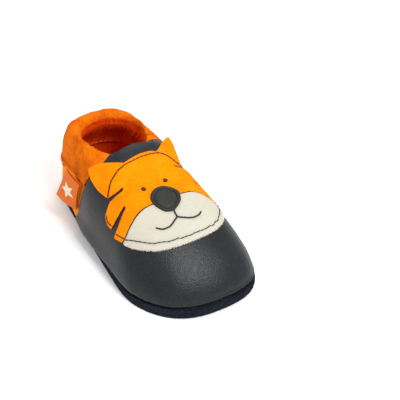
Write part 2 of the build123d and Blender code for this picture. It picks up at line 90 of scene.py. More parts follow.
def periodic_spline(rows):
    """A smooth closed curve through the rows, one row per whole number."""
    rows = np.asarray(rows, float)
    count = len(rows)
    matrix = 4 * np.eye(count) + np.roll(np.eye(count), 1, 0) + np.roll(np.eye(count), -1, 0)
    slopes = np.linalg.solve(matrix, 3 * (np.roll(rows, -1, 0) - np.roll(rows, 1, 0)))

    def at(u):
        k = np.floor(u).astype(int) % count
        s = (u - np.floor(u))[..., None]
        n = (k + 1) % count
        return hermite(rows[k], rows[n], slopes[k], slopes[n], s)
    return at


outer_half = [(-row[0], row[1], -row[2], *row[3:]) for row in STATIONS]
station = periodic_spline(outer_half + STATIONS[-2:0:-1])


def lean(x, y):
    toe = np.clip((LEAN_START - y) / LEAN_LENGTH, 0, 1)
    heel = np.clip((y - LEAN_START) / HEEL_LENGTH, 0, 1)
    return x + TOE_LEAN * toe**2 - HEEL_LEAN * heel**2


def ribs(u):
    """Top point, outward direction and the four control points (r, z) of the ribs at u."""
    fx, fy, tx, ty, tz, low_out, low_z, high_out, high_z = np.moveaxis(station(u), -1, 0)
    foot = np.stack([lean(fx, fy), fy], -1)
    top = np.stack([lean(tx, ty), ty], -1)
    reach = np.linalg.norm(foot - top, axis=-1)
    outwards = (foot - top) / reach[..., None]
    reach = reach + TOE_FULLNESS * bell(u, 9.4, 0.9)
    zero = np.zeros_like(reach)
    control = [np.stack(pair, -1) for pair in (
        (reach, zero + SEAM_HEIGHT), (reach + low_out, low_z), (high_out, high_z), (zero, tz))]
    return top, outwards, control


def cubic(a, b, c, d, t):
    """Points of a cubic with these control points, and its unit directions there."""
    s = 1 - t
    point = s**3 * a + 3 * s * s * t * b + 3 * s * t * t * c + t**3 * d
    slope = 3 * s * s * (b - a) + 6 * s * t * (c - b) + 3 * t * t * (d - c)
    return point, slope / np.linalg.norm(slope, axis=-1, keepdims=True)


def surface(u, t, out=0.0):
    """Points of the upper at stations u and rib heights t, moved out of it."""
    u, t, out = np.broadcast_arrays(*[np.asarray(v, float) for v in (u, t, out)])
    top, outwards, control = ribs(u)
    flat, slope = cubic(*control, t[..., None])
    flat = flat + np.stack([slope[..., 1], -slope[..., 0]], -1) * out[..., None]
    place = top + outwards * flat[..., :1]
    return np.concatenate([place, flat[..., 1:]], -1)


def curve(points, samples=60, closed=False):
    """A smooth line through a few points, passing each in turn."""
    keys = np.asarray(points, float)
    if closed:
        keys = np.vstack([keys[-1], keys, keys[0], keys[1]])
        slopes = (keys[2:] - keys[:-2]) / 2
        keys = keys[1:-1]
        reach = np.linspace(0, len(keys) - 1, samples, endpoint=False)
    else:
        slopes = np.gradient(keys, axis=0) if len(keys) > 2 else np.tile(keys[1] - keys[0], (2, 1))
        reach = np.linspace(0, len(keys) - 1, samples)
    k = np.minimum(reach.astype(int), len(keys) - 2)
    return hermite(keys[k], keys[k + 1], slopes[k], slopes[k + 1], (reach - k)[:, None])


def follow(line, x):
    """The second value of a line of pairs at x."""
    return np.interp(x, [a for a, _ in line], [b for _, b in line])


def collar_edge(u):
    return follow(COLLAR_EDGE, np.abs(u - ROUND))


def ease(x):
    """A soft step from 0 to 1."""
    x = np.clip(x, 0, 1)
    return x * x * (3 - 2 * x)


def bell(x, middle, width):
    return np.exp(-((x - middle) / width)**2)


def lumps(points, size, seed):
    """Smooth noise from -1 to 1 with lumps of about that size in millimetres."""
    shift = Vector((seed * 17.3, seed * 5.1, seed * 9.7))
    flat = np.asarray(points, float).reshape(-1, 3) / size
    values = [noise.noise(Vector(p) + shift) for p in flat]
    return np.array(values).reshape(np.shape(points)[:-1])


# ---- meshes ----
def add_object(name, data):
    made = bpy.data.objects.new(name, data)
    bpy.context.scene.collection.objects.link(made)
    return made


def new_mesh(name, points, faces, material, body):
    mesh = bpy.data.meshes.new(name)
    mesh.from_pydata([tuple(p * MM) for p in np.asarray(points)], [], faces)
    mesh.update()
    piece = add_object(name, mesh)
    mesh.materials.append(material)
    for polygon in mesh.polygons:
        polygon.use_smooth = True
    if body:
        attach(piece, body)
    return piece


def grid_normals(grid):
    """Normals of a grid of points, on the side that the two directions turn to."""
    normals = np.cross(np.gradient(grid, axis=0), np.gradient(grid, axis=1))
    return normals / np.maximum(np.linalg.norm(normals, axis=-1, keepdims=True), 1e-9)


def quads(rows, columns, wrap=False, start=0):
    """Faces between the points of a grid; with wrap its last row meets the first."""
    faces = []
    for i in range(rows if wrap else rows - 1):
        j = (i + 1) % rows
        for k in range(columns - 1):
            a, b = start + i * columns + k, start + i * columns + k + 1
            c, d = start + j * columns + k + 1, start + j * columns + k
            faces.append((a, b, c, d))
    return faces


def leather_sheet(name, front, thickness, material, body, rim=0.35):
    """A closed sheet of leather behind a grid of points, with rounded edges."""
    rows, columns = front.shape[:2]
    normals = grid_normals(front)
    back = front - normals * thickness
    ring = ([(i, 0) for i in range(rows)] + [(rows - 1, k) for k in range(1, columns)]
            + [(i, columns - 1) for i in range(rows - 2, -1, -1)]
            + [(0, k) for k in range(columns - 2, 0, -1)])
    index = np.array([i * columns + k for i, k in ring])
    flat_front, flat_back = front.reshape(-1, 3), back.reshape(-1, 3)
    middle = (flat_front[index] + flat_back[index]) / 2
    tangent = np.roll(middle, -1, 0) - np.roll(middle, 1, 0)
    tangent /= np.maximum(np.linalg.norm(tangent, axis=1, keepdims=True), 1e-9)
    across = flat_front[index] - flat_back[index]
    wide = np.linalg.norm(across, axis=1, keepdims=True)
    outward = np.cross(tangent, across / np.maximum(wide, 1e-9))
    from_middle = front[rows // 2, 0] - front[rows // 2, columns // 2]
    if outward[rows // 2] @ from_middle < 0:
        outward = -outward
    rim_rows = []
    for angle in (0.3, 0.5, 0.7):
        swing = math.pi * angle
        rim_rows.append(middle + across / 2 * math.cos(swing)
                        + outward * wide * rim * math.sin(swing))
    points = np.vstack([flat_front, flat_back] + rim_rows)
    half = rows * columns
    faces = [tuple(reversed(f)) for f in quads(rows, columns)] + quads(rows, columns, start=half)
    rims = [2 * half + n * len(ring) + np.arange(len(ring)) for n in range(3)]
    loops = [index] + rims + [index + half]
    for upper, lower in zip(loops, loops[1:]):
        band = np.stack([upper, np.roll(upper, -1), np.roll(lower, -1), lower], -1)
        faces += [tuple(face) for face in band.tolist()]
    piece = new_mesh(name, points, faces, material, body)
    fix_normals(piece)
    return piece


def fix_normals(piece):
    """Every face of a closed piece looks outwards."""
    work = bmesh.new()
    work.from_mesh(piece.data)
    bmesh.ops.recalc_face_normals(work, faces=work.faces)
    work.to_mesh(piece.data)
    work.free()


def paint_inside_shade(piece, inner):
    """The marked faces, in the order they were made, get a redder copy of the suede: painted shade
    and orange bounce light inside the shoe.
    """
    piece.data.materials.append(INSIDE_BOUNCE_SHADE)
    for face, marked in zip(piece.data.polygons, inner):
        face.material_index = int(marked)


# ---- materials ----
def material(name, color, roughness, **inputs):
    made = bpy.data.materials.new(name)
    made.use_nodes = True
    shader = made.node_tree.nodes["Principled BSDF"]
    shader.inputs["Base Color"].default_value = (*color, 1)
    shader.inputs["Roughness"].default_value = roughness
    for key, value in inputs.items():
        shader.inputs[key.replace("_", " ")].default_value = value
    return made, made.node_tree, shader


def node(tree, kind, **settings):
    made = tree.nodes.new(kind)
    for key, value in settings.items():
        if key in made.inputs:
            made.inputs[key].default_value = value
        else:
            setattr(made, key, value)
    return made


def texture(tree, kind, size_mm, output="Fac", **settings):
    """A texture of a size in millimetres, laid on the piece itself."""
    made = node(tree, kind, Scale=1000.0 / size_mm, **settings)
    place = node(tree, "ShaderNodeTexCoord").outputs["Object"]
    tree.links.new(place, made.inputs["Vector"])
    return made.outputs[output]


def noise_node(tree, size_mm, detail=3.0, roughness=0.55):
    return texture(tree, "ShaderNodeTexNoise", size_mm, Detail=detail, Roughness=roughness)


def ramp(tree, value, stops):
    made = node(tree, "ShaderNodeValToRGB")
    tree.links.new(value, made.inputs["Fac"])
    elements = made.color_ramp.elements
    while len(elements) < len(stops):
        elements.new(0.5)
    for element, (where, color) in zip(elements, stops):
        element.position = where
        element.color = (*color, 1)
    return made.outputs["Color"]


def multiply(tree, a, b, amount):
    made = node(tree, "ShaderNodeMix", data_type="RGBA", blend_type="MULTIPLY")
    made.inputs["Factor"].default_value = amount
    tree.links.new(a, made.inputs["A"])
    tree.links.new(b, made.inputs["B"])
    return made.outputs["Result"]


def bump(tree, height, strength, distance_mm, before=None):
    made = node(tree, "ShaderNodeBump", Strength=strength, Distance=distance_mm * MM)
    tree.links.new(height, made.inputs["Height"])
    if before is not None:
        tree.links.new(before, made.inputs["Normal"])
    return made.outputs["Normal"]


def wire(tree, shader, color, normal):
    tree.links.new(color, shader.inputs["Base Color"])
    tree.links.new(normal, shader.inputs["Normal"])


def shade(color, factor):
    return tuple(min(c * factor, 1.0) for c in color)


def suede(name, color, nap=1.0, sheen=0.05, mottle=0.16, warm=(1.0, 1.0, 1.0), tuft=1.3,
          tip_light=1.08):
    """Brushed leather: soft mottling, short fibres with painted light on their tips and painted
    shade deep in the nap, a matt surface.
    """
    made, tree, shader = material(name, color, 0.95, Sheen_Weight=sheen, Sheen_Roughness=0.5,
                                  Specular_IOR_Level=0.06)
    shader.inputs["Sheen Tint"].default_value = (*shade(color, 1.3), 1)
    broad = noise_node(tree, 9.0, 3.0)
    fine = noise_node(tree, tuft, 4.0, 0.68)
    fibre = noise_node(tree, 0.3, 2.0, 0.6)
    dark = tuple(c * (1 - mottle) * w for c, w in zip(color, warm))
    light = shade(color, 1 + mottle * 0.8)
    base = ramp(tree, broad, [(0.3, dark), (0.55, color), (0.78, light)])
    # Painted shade deep in the nap and painted light on the fibre tips, on the same noise as the
    # tufts' bump.
    painted_nap_shade = (1 - 0.34 * nap, 1 - 0.40 * nap, 1 - 0.44 * nap)
    painted_tip_light = (tip_light * 0.97, tip_light * 0.99, tip_light * 1.02)
    nap_light_and_shade = ramp(tree, fine, [(0.34, painted_nap_shade), (0.50, (1, 1, 1)), (0.70, painted_tip_light)])
    mixed = multiply(tree, base, nap_light_and_shade, 0.75)
    # Fine flecks darker in the fibres' hollows and lighter on their tops: painted shade and light.
    fleck_light_and_shade = ramp(tree, fibre, [(0.35, (0.84, 0.82, 0.80)), (0.65, (1.06, 1.06, 1.06))])
    mixed = multiply(tree, mixed, fleck_light_and_shade, 0.5)
    normal = bump(tree, fine, 0.55 * nap, 0.55)
    wire(tree, shader, mixed, bump(tree, fibre, 0.5 * nap, 0.14, normal))
    return made


def smooth_leather(name, color, roughness=0.36, grain_mm=1.1, depth=1.0):
    """Smooth grain leather: pebbles between fine furrows, faint creases, a satin surface."""
    made, tree, shader = material(name, color, roughness, Specular_IOR_Level=0.24)
    grain = texture(tree, "ShaderNodeTexVoronoi", grain_mm, "Distance", feature="DISTANCE_TO_EDGE")
    broad = noise_node(tree, 14.0, 3.0)
    fine = noise_node(tree, 1.2, 3.0, 0.7)
    crease = noise_node(tree, 3.2, 5.0, 0.62)
    base = ramp(tree, broad, [(0.3, shade(color, 0.86)), (0.55, color), (0.8, shade(color, 1.16))])
    # Fine flecks lighter on the grain's raised spots and darker in its low ones: painted glints and
    # painted shade.
    fleck_light_and_shade = ramp(tree, fine, [(0.3, (0.72, 0.72, 0.73)), (0.7, (1.3, 1.3, 1.3))])
    base = multiply(tree, base, fleck_light_and_shade, 0.7)
    # Darker in the furrows between the pebbles: painted shade in the grain's recesses.
    furrow_shade = ramp(tree, grain, [(0.02, (0.66,) * 3), (0.22, (1.08,) * 3)])
    base = multiply(tree, base, furrow_shade, 0.6)
    shine = node(tree, "ShaderNodeMapRange")
    shine.inputs["To Min"].default_value = roughness - 0.10
    shine.inputs["To Max"].default_value = roughness + 0.14
    tree.links.new(fine, shine.inputs["Value"])
    tree.links.new(shine.outputs["Result"], shader.inputs["Roughness"])
    normal = bump(tree, grain, 0.55 * depth, 0.24)
    normal = bump(tree, crease, 0.30 * depth, 0.45, normal)
    wire(tree, shader, base, bump(tree, fine, 0.45 * depth, 0.22, normal))
    return made


def thread_material(name, color):
    """Twisted sewing thread: fine diagonal ply and a silky shine."""
    made, tree, shader = material(name, color, 0.6, Sheen_Weight=0.06, Specular_IOR_Level=0.25)
    ply = texture(tree, "ShaderNodeTexWave", 0.55, Distortion=1.5, bands_direction="DIAGONAL")
    # The ply is painted lighter on its crests and darker in its grooves: painted light and shade.
    relief_light_and_shade = ramp(tree, ply, [(0.1, shade(color, 0.6)), (0.7, shade(color, 1.25))])
    wire(tree, shader, relief_light_and_shade, bump(tree, ply, 0.6, 0.1))
    return made


def woven_tape(name, color):
    """Satin tape: a fine over-and-under weave."""
    made, tree, shader = material(name, color, 0.7, Sheen_Weight=0.08, Specular_IOR_Level=0.12)
    both = node(tree, "ShaderNodeMath", operation="MULTIPLY")
    for n, direction in enumerate(("Y", "Z")):
        wave = texture(tree, "ShaderNodeTexWave", 1.3, Distortion=0.4, bands_direction=direction)
        tree.links.new(wave, both.inputs[n])
    # Lighter where the threads pass over, darker where they pass under: painted light and shade of
    # the weave.
    relief_light_and_shade = ramp(tree, both.outputs[0], [(0.0, shade(color, 0.8)), (0.6, shade(color, 1.12))])
    wire(tree, shader, relief_light_and_shade, bump(tree, both.outputs[0], 0.5, 0.12))
    return made


def foam(name, color):
    """Open foam: small cells."""
    made, tree, shader = material(name, color, 0.9)
    cells = texture(tree, "ShaderNodeTexVoronoi", 0.5, "Distance")
    # Darker in the middle of each cell: painted shade in the foam's pores.
    relief_light_and_shade = ramp(tree, cells, [(0.0, shade(color, 0.8)), (0.5, color)])
    wire(tree, shader, relief_light_and_shade, bump(tree, cells, 0.5, 0.2))
    return made


CHARCOAL = smooth_leather("charcoal_leather", (0.0138, 0.0155, 0.0182))
NOSE_LEATHER = smooth_leather("nose_leather", (0.021, 0.0215, 0.0195), 0.5, grain_mm=1.0, depth=0.6)
NAVY = suede("navy_suede", (0.0128, 0.0142, 0.0225), nap=1.5, mottle=0.30, tuft=1.0, tip_light=2.4)
ORANGE = suede("orange_suede", (0.74, 0.155, 0.002), mottle=0.20, warm=(1.0, 0.80, 0.7), tuft=1.6)
QUARTER = suede("quarter_suede", (0.93, 0.285, 0.004), mottle=0.12, tuft=1.4)
# A redder copy of the orange suede for the faces inside the shoe: painted shade and orange bounce
# light.
INSIDE_BOUNCE_SHADE = suede("inside_bounce_shade_suede", (0.93, 0.085, 0.004), mottle=0.20, warm=(1.0, 0.8, 0.7),
                  tuft=1.6)
# The insole's red-orange suede, made darker and redder: painted shade and orange bounce light
# inside the shoe.
SHADED_LINING = suede("shaded_lining_suede", (0.80, 0.040, 0.003), mottle=0.18, tuft=1.4)
YELLOW = suede("yellow_nubuck", (0.95, 0.245, 0.0005), nap=0.75, sheen=0.04, mottle=0.18)
# A brighter copy of the muzzle's cream for its fringe: painted light lifting the fibres out of the
# shade under the muzzle's edge.
LIT_FLEECE = suede("cream_fleece_painted_light", (0.86, 0.80, 0.70), nap=0.15, mottle=0.03)
CREAM = suede("cream_nubuck", (0.53, 0.50, 0.42), nap=0.15, mottle=0.03)
BROWN_THREAD = thread_material("brown_thread", (0.026, 0.009, 0.004))
DARK_THREAD = thread_material("dark_thread", (0.016, 0.013, 0.012))
EYE_THREAD = thread_material("eye_thread", (0.085, 0.022, 0.006))
GREY_THREAD = thread_material("grey_thread", (0.05, 0.05, 0.055))
ORANGE_THREAD = thread_material("orange_thread", (0.70, 0.14, 0.01))
TAPE = woven_tape("orange_tape", (0.74, 0.150, 0.005))
PRINT = thread_material("cream_print", (0.88, 0.72, 0.55))
ELASTIC = woven_tape("elastic", (0.8, 0.78, 0.72))
FOAM = foam("foam", (0.72, 0.70, 0.64))


# ---- the upper ----
LOW_BULGE, SAG = 2.3, 0.45   # the outer side's bulge over the sole, and its drop per millimetre
SOLE_WAIST = 1.7             # the sole draws in under it by this much
TURNED_IN_EDGE = 2.3         # the vamp's lower edge is turned in this far


def between(first, last, heights, columns):
    """A grid of stations and heights whose two ends follow the side seams."""
    share, t = np.meshgrid(np.linspace(0, 1, columns), heights, indexing="ij")
    start, end = follow(first, t), follow(last, t)
    end = np.where(end < start, end + ROUND, end)
    return start + (end - start) * share, t


def low_bulge(u, t):
    """On its outer side the soft upper sags out over the sole."""
    bulge = LOW_BULGE * bell(np.mod(u, ROUND), 3.7, 1.5) * bell(t, 0.085, 0.095)
    return bulge * ease((t + 0.01) / 0.03)


def make_vamp():
    """The shoe's front: full over the toe, gathered a little where it meets the sole."""
    heights = np.concatenate([np.linspace(-0.035, 0.08, 24), np.linspace(0.09, 1.0, 98)])
    u, t = between(OUTER_SEAM, INNER_SEAM, heights, 341)
    base = surface(u, np.maximum(t, 0))
    pucker = np.sin(u * 23 + 2.6 * np.sin(u * 5)) * (0.10 + 0.16 * np.sin(u * 7.0 + 1.0)**2)
    pucker *= bell(t, 0, 0.06)
    pucker += lumps(base * (1, 1, 0.6), 7.0, 1) * 0.30 * bell(t, 0, 0.2)
    slack = lumps(base, 24.0, 2) * 0.30 + lumps(base, 10.0, 3) * 0.08
    turned_in = -TURNED_IN_EDGE * ease((0.044 - t) / 0.045)
    ends = np.minimum(u - follow(OUTER_SEAM, t), follow(INNER_SEAM, t) - u)
    seam = -1.1 * bell(ends, 0, 0.045)
    lip = 0.35 * bell(t, 0.965, 0.02)
    lip = lip + 0.55 * bell(t, 0.052, 0.018) * bell(u, 8.9, 1.5)
    out = pucker + slack * ease(t / 0.1) * ease((1 - t) / 0.06) + turned_in + seam + lip
    bulge = low_bulge(u, t)
    out += bulge
    front = surface(u, np.maximum(t, 0.0), out)
    front[..., 2] += np.minimum(t, 0) * 30.0 - SAG * bulge
    piece = leather_sheet("vamp_leather", front, LEATHER, CHARCOAL, SHOE)
    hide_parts("vamp")


def make_hem():
    """The top edge of the vamp turned over to the inside."""
    u, t = np.meshgrid(np.linspace(4.2, 2 * FACE_MIDDLE - 4.2, 241), np.linspace(0.92, 0.992, 13),
                       indexing="ij")
    out = -LEATHER - 0.12 + lumps(surface(u, t), 4.0, 5) * 0.08
    piece = leather_sheet("turned_hem", surface(u, t, out), HEM_LEATHER, CHARCOAL, SHOE)
    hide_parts("vamp_hem")


def make_quarter():
    """The heel piece, drawn in under the collar."""
    heights = np.linspace(0.0, 1.0, 81)
    share, part = np.meshgrid(np.linspace(0, 1, 221), heights, indexing="ij")
    u = 13.0 + share * 6.0
    for _ in range(3):
        t = part * (collar_edge(u) + 0.04)
        start, end = follow(INNER_SEAM, t), follow(OUTER_SEAM, t) + ROUND
        u = start + (end - start) * share
    base = surface(u, t)
    tuck = 0.5 + 1.0 * ease((part - 0.35) / 0.6)
    gather = np.sin(u * 31 + 3 * np.sin(u * 3.1)) * 0.25 * bell(part, 1.0, 0.25)
    out = -tuck + gather + lumps(base, 16.0, 7) * 0.45 + lumps(base, 6.0, 8) * 0.12
    out -= 1.4 * ease((0.05 - t) / 0.05)
    bulge = low_bulge(u, t)
    out += bulge
    ends = np.minimum(u - start, end - u)
    out -= 0.8 * bell(ends, 0, 0.04)
    front = surface(u, t, out)
    front[..., 2] -= SAG * bulge
    piece = leather_sheet("heel_quarter_suede", front, LEATHER, QUARTER, SHOE)
    # The back faces, inside the shoe, get the painted shade and bounce light.
    side = (u.shape[0] - 1) * (u.shape[1] - 1)
    paint_inside_shade(piece, [False] * side + [True] * side)
    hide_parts("heel_quarter")


TURN_START = 0.62            # share of the way round the fold where the inside's painted shade and bounce light begins
INWARD_ROLL = 3.6            # the collar rolls in this much further on the inner side
INNER_LEAF = 1.5 + LEATHER + 0.15 + LEATHER / 2      # depth of the inner leaf's middle
LEAF_OUT = INNER_LEAF + 0.65                         # and of the line it is drawn to


def collar_section(u):
    """Outer face of the collar in rib terms: rows of r, z and the height where it belongs."""
    _, _, control = ribs(np.array(u))

    def flat(t, out=0.0):
        point, slope = cubic(*control, t)
        return point + out * np.array([slope[1], -slope[0]])

    full = float(ease((3.6 - abs(u - ROUND)) / 1.5))
    low = float(collar_edge(u))
    edge = [(0.05, -1.45), (0.015, -1.40), (-0.004, -0.80)]
    keys = [(*flat(low + rise, out), low) for rise, out in edge]
    for t in np.linspace(low + 0.012, 1.0, 15):
        swell = 0.5 * math.sin(math.pi * min((t - low) / (1 - low), 1)) * full
        keys.append((*flat(t, swell - 0.02), t))
    top = flat(1.0)
    ahead = top - flat(0.98)
    ahead = ahead / np.linalg.norm(ahead)
    keys.append((*(flat(1.0, -2.4) + ahead * 2.3), 1.0))
    start = top + np.array([-2.0, -5.0])
    sewn = flat(low) + np.array([-LEAF_OUT, -1.0])
    controls = [start, start + np.array([-0.6, -6.0]), sewn + np.array([-1.0, 10.0]), sewn]
    for s in np.linspace(0.0, 1.0, 11):
        puffed = cubic(*controls, s)[0]
        height = 1.0 - s * (1.0 - low)
        slack = flat(height, -LEAF_OUT)
        keys.append((*(slack + (puffed - slack) * full), height))
    keys = np.array(keys)
    order = np.arange(len(keys))
    roll = ease((order - 9) / 8) * (1 - 0.75 * ease((order - 20) / 9))
    keys[:, 0] -= INWARD_ROLL * bell(u, 13.9, 1.0) * roll
    return curve(keys, 120)


def collar_grid(columns):
    """Points of the collar's outer face, its two ends on the slanting side seams."""
    us = np.linspace(12.0, 20.4, 337)
    top, outwards, _ = ribs(us)
    sections = np.array([collar_section(u) for u in us])
    level = top[:, None] + outwards[:, None] * sections[..., :1]
    places = np.concatenate([level, sections[..., 1:2]], -1)
    share = np.linspace(0, 1, columns)
    front, stations = [], []
    for k in range(sections.shape[1]):
        start, end = 12.8, 19.4
        for _ in range(4):
            start = follow(INNER_SEAM, np.interp(start, us, sections[:, k, 2]))
            end = follow(OUTER_SEAM, np.interp(end, us, sections[:, k, 2])) + ROUND
        at = start + (end - start) * share
        stations.append(at)
        front.append(np.stack([np.interp(at, us, places[:, k, n]) for n in range(3)], -1))
    return np.stack(front, 1), np.stack(stations, 1)


def make_collar():
    """The wide folded casing: puffed outside, softly gathered over the elastic inside."""
    grid, u = collar_grid(401)
    normals = -grid_normals(grid)
    if normals[200, 40] @ (grid[200, 40] - np.array([0, 30, 40])) < 0:
        normals = -normals
    across = np.linspace(0, 1, grid.shape[1])[None, :]
    full = ease((3.6 - np.abs(u - ROUND)) / 1.5)
    pleats = np.sin(u * 37 + 2.5 * np.sin(u * 3.3) + 1.3 * np.sin(u * 7.9 + 1) + across * 2.0)
    pleats = pleats * (0.55 + 0.45 * np.sin(u * 11.0 + 0.7))
    broad = np.sin(u * 9.0 + 1.4 * np.sin(u * 4.0) + across * 3.0)
    fold = bell(across, 0.70, 0.09) * 0.10 + ease((across - 0.68) / 0.12) * 0.26
    low = bell(across, 0.07, 0.08) * 0.26
    soft = lumps(grid, 14.0, 11) * 0.5 + lumps(grid, 5.0, 12) * 0.26 + lumps(grid, 1.9, 13) * 0.17
    height = pleats * (fold + low) + broad * 0.14 * full * ease((across - 0.1) / 0.2)
    height = height + soft * (0.35 + 0.65 * full) * ease(across / 0.05)
    front = grid + normals * height[..., None]
    piece = leather_sheet("collar_suede", front, LEATHER, ORANGE, SHOE)
    # Past the fold the inner leaf gets the painted shade and bounce light.
    turn = TURN_START + 0.03 * lumps(grid, 2.0, 14)[:-1, :-1]
    inner = (np.linspace(0, 1, turn.shape[1])[None, :] > turn).reshape(-1)
    paint_inside_shade(piece, np.concatenate([inner, inner]))
    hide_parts("collar")


# ---- the sole ----
SOLE_OVERHANG, TOE_OVERHANG = 1.0, 0.9       # along the sides, and this much more at the toe
INSOLE_UNDERSIDE = 4.15
RIM_REACH = 2.2              # the rim's inner wall lies this far inside the ribs' feet


def ring_points(profile, us, waist=0.0):
    """A closed ring of sections; beyond the ribs' feet the profile counts in overhangs."""
    top, outwards, control = ribs(us)
    reach = control[0][:, 0]
    over = SOLE_OVERHANG + TOE_OVERHANG * bell(us, ROUND / 2, 1.8)
    rows = []
    for r, z in profile:
        beyond = r * over if r > 0 else r + 0 * over
        beyond = beyond - waist * min(max(r + RIM_REACH, 0.0) / (RIM_REACH + 1.0), 1.0)
        place = top + outwards * (reach + beyond)[:, None]
        rows.append(np.concatenate([place, np.full((len(us), 1), z)], -1))
    return np.stack(rows, 1)


def ring_solid(name, grid, material):
    """A closed piece through ring_points, capped by its first and its last ring."""
    rows, columns = grid.shape[:2]
    first = [i * columns for i in range(rows)]
    last = [i + columns - 1 for i in first]
    faces = quads(rows, columns, wrap=True) + [tuple(last), tuple(reversed(first))]
    piece = new_mesh(name, grid.reshape(-1, 3), faces, material, SHOE)
    fix_normals(piece)
    return piece


def make_outsole():
    """A soft suede tray: flat underneath, its rim rolled over and gathered under the upper."""
    us = np.linspace(0, ROUND, 480, endpoint=False)
    keys = [(-9.0, 1.6), (-4.2, 1.6), (-3.7, 2.0), (-3.5, 4.0), (-3.3, 6.4), (-2.7, 7.4),
            (-2.2, 6.6), (-1.7, 5.5), (-0.9, 5.25), (0.1, 5.2), (0.55, 5.0), (0.88, 4.45),
            (0.99, 3.6), (1.0, 2.4), (0.96, 1.3), (0.78, 0.55), (0.4, 0.14), (-0.8, 0.0),
            (-9.0, 0.0)]
    profile = curve(keys, 110)
    grid = ring_points(profile, us, SOLE_WAIST * bell(us, 3.9, 1.4))
    pucker = np.sin(us * 38 + 2 * np.sin(us * 4))[:, None]
    z = grid[..., 2]
    band = ease(z / 1.2) * ease((6.0 - z) / 1.0)
    outward = grid - grid.mean(0, keepdims=True)
    outward[..., 2] = 0
    outward /= np.linalg.norm(outward, axis=-1, keepdims=True)
    rim = ease((np.linspace(0, 1, len(profile)) - 0.48) / 0.08)[None, :]
    move = (pucker * 0.07 + lumps(grid, 6.0, 21) * 0.2 + lumps(grid, 1.6, 22) * 0.07) * band * rim
    grid = grid + outward * move[..., None]
    piece = ring_solid("outsole_suede", grid, NAVY)
    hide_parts("outsole")


def make_insole():
    """A thin suede insole, slightly cupped by the foot."""
    us = np.linspace(0, ROUND, 240, endpoint=False)
    shares = np.linspace(0.02, 1.0, 40)
    edge = ring_points([(-2.9, 0.0)], us)[:, 0]
    centre = np.array([2.0, -2.0, 0.0])
    grid = centre + (edge[:, None] - centre) * shares[None, :, None]
    height = 5.2 + 0.35 * ease((shares - 0.75) / 0.25)[None, :] + lumps(grid, 9.0, 31) * 0.12
    grid[..., 2] = height
    under = grid[:, -1:].copy()
    under[..., 2] = INSOLE_UNDERSIDE
    # The insole wears the lining suede with its painted shade and bounce light.
    piece = ring_solid("insole_suede", np.concatenate([grid, under], 1), SHADED_LINING)
    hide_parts("insole")


# ---- appliqued face pieces ----
def inside(points, outline):
    """Which points lie within a closed outline, both as (station, height) pairs."""
    points, outline = points * STRETCH, outline * STRETCH
    x, y = points[:, 0][:, None], points[:, 1][:, None]
    ax, ay = outline[:, 0][None], outline[:, 1][None]
    bx, by = np.roll(outline[:, 0], -1)[None], np.roll(outline[:, 1], -1)[None]
    crosses = (ay > y) != (by > y)
    with np.errstate(divide="ignore", invalid="ignore"):
        hit = x < (bx - ax) * (y - ay) / (by - ay) + ax
    return (crosses & hit).sum(1) % 2 == 1


def lengths(points):
    """How far along a line each of its points lies."""
    return np.concatenate([[0], np.cumsum(np.linalg.norm(np.diff(points, axis=0), axis=1))])


def even(line, spacing, closed):
    """The same (station, height) line with points evenly spaced over the upper."""
    if closed:
        line = np.vstack([line, line[:1]])
    steps = lengths(surface(*line.T))
    count = max(2, int(round(steps[-1] / spacing)))
    marks = np.linspace(0, steps[-1], count, endpoint=not closed)
    return np.stack([np.interp(marks, steps, line[:, 0]), np.interp(marks, steps, line[:, 1])], -1)


def nearest(points, line):
    """Distance of each point to the nearest point of a line, in millimetres."""
    best = np.full(len(points), 1e9)
    for start in range(0, len(line), 200):
        part = line[start:start + 200]
        gap = np.linalg.norm(points[:, None] - part[None], axis=-1).min(1)
        best = np.minimum(best, gap)
    return best


GAP, SUEDE_THICKNESS = 0.08, 1.0     # air under a sewn piece, and its thickness
RIB_MM = 55.0                        # millimetres for one whole height
STRETCH = np.array([6.0, RIB_MM])    # makes station and height about equal in millimetres


